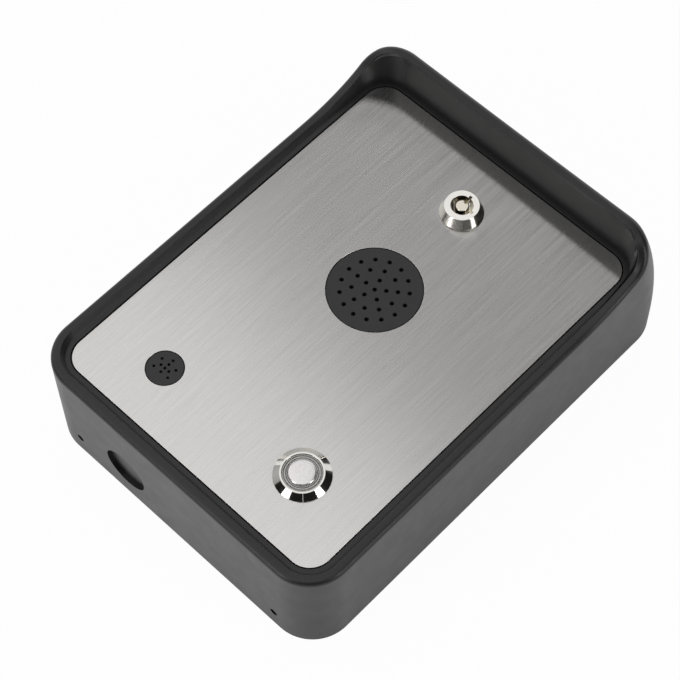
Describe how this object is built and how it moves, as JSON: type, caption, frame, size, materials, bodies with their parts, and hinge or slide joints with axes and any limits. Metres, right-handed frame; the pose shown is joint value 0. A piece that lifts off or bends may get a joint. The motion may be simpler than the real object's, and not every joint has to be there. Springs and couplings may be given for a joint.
{
  "type": "emergency intercom",
  "caption": "Wall-mounted emergency intercom with a hooded moulded housing and a hinged, key-locked steel face plate that carries a speaker, a microphone and a lit call button.",
  "frame": {"origin": "middle of the housing's back, in the plane that lies against the wall", "axes": "+Z out of the wall, towards the person who calls; +Y up the wall, towards the hood; +X to the right as the face plate is seen. The part is stored lying on its back."},
  "size_m": [0.146, 0.204, 0.0678],
  "materials": {
    "housing": "moulded, fine matte texture",
    "gasket": "soft, matt",
    "plate": "brushed along its height",
    "hooks": "folded sheet",
    "grilles": "fine matt",
    "mesh": "fine cloth",
    "basket": "grey zinc",
    "cone": "pressed paper",
    "magnet": "dull grey",
    "fasteners": "bright nickel plate",
    "capsule": "satin",
    "bright": "polished",
    "light_ring": "translucent, smooth",
    "cap": "satin",
    "spring": "bright wire",
    "button_body": "moulded",
    "contacts": "bright",
    "plug": "plated, worn",
    "board": "green solder mask",
    "shield": "tinned sheet",
    "relay": "smooth",
    "terminal_block": "moulded",
    "capacitors": "sleeved can",
    "headers": "moulded",
    "chips": "moulded epoxy",
    "antenna": "flexible foil"
  },
  "bodies": {
    "housing": {"housing": "housing", "plate_gasket": "gasket", "circuit_board": "board", "board_screws": "fasteners", "radio_module": "shield", "sim_holder": "shield", "relay": "relay", "terminal_block": "terminal_block", "terminal_screws": "fasteners", "capacitors": "capacitors", "headers": "headers", "chips": "chips", "trimmers": "relay", "antenna": "antenna"},
    "door": {"face_plate": "plate", "hinge_hooks": "hooks", "plate_studs": "hooks", "speaker_grille": "grilles", "speaker_mesh": "mesh", "speaker_basket": "basket", "speaker_cone": "cone", "speaker_magnet": "magnet", "speaker_clamp": "hooks", "speaker_nuts": "fasteners", "mic_grille": "grilles", "mic_boot": "gasket", "mic_capsule": "capsule", "button_bezel": "bright", "button_seal": "gasket", "button_light_ring": "light_ring", "button_spring": "spring", "button_nut": "fasteners", "button_base": "button_body", "button_terminals": "contacts", "lock_barrel": "bright", "lock_nut": "fasteners"},
    "cap": {"button_cap": "cap"},
    "lock": {"lock_plug": "plug", "lock_cam": "hooks", "cam_screw": "fasteners"}
  },
  "joints": [
    {"name": "door_hinge", "type": "hinge", "parent": "housing", "child": "door", "pos_m": [0, -0.0938, 0.0488], "axis": [1, 0, 0], "range_deg": [0, 60]},
    {"name": "button_press", "type": "slide", "parent": "door", "child": "cap", "axis": [0, 0, -1], "range_m": [0, 0.002], "stiffness_N_per_m": 1500, "springref_m": -0.001, "deforming": ["button_spring"]},
    {"name": "lock_turn", "type": "hinge", "parent": "door", "child": "lock", "pos_m": [0.0005, 0.0567, 0.0307], "axis": [0, 0, -1], "range_deg": [0, 90]}
  ]
}
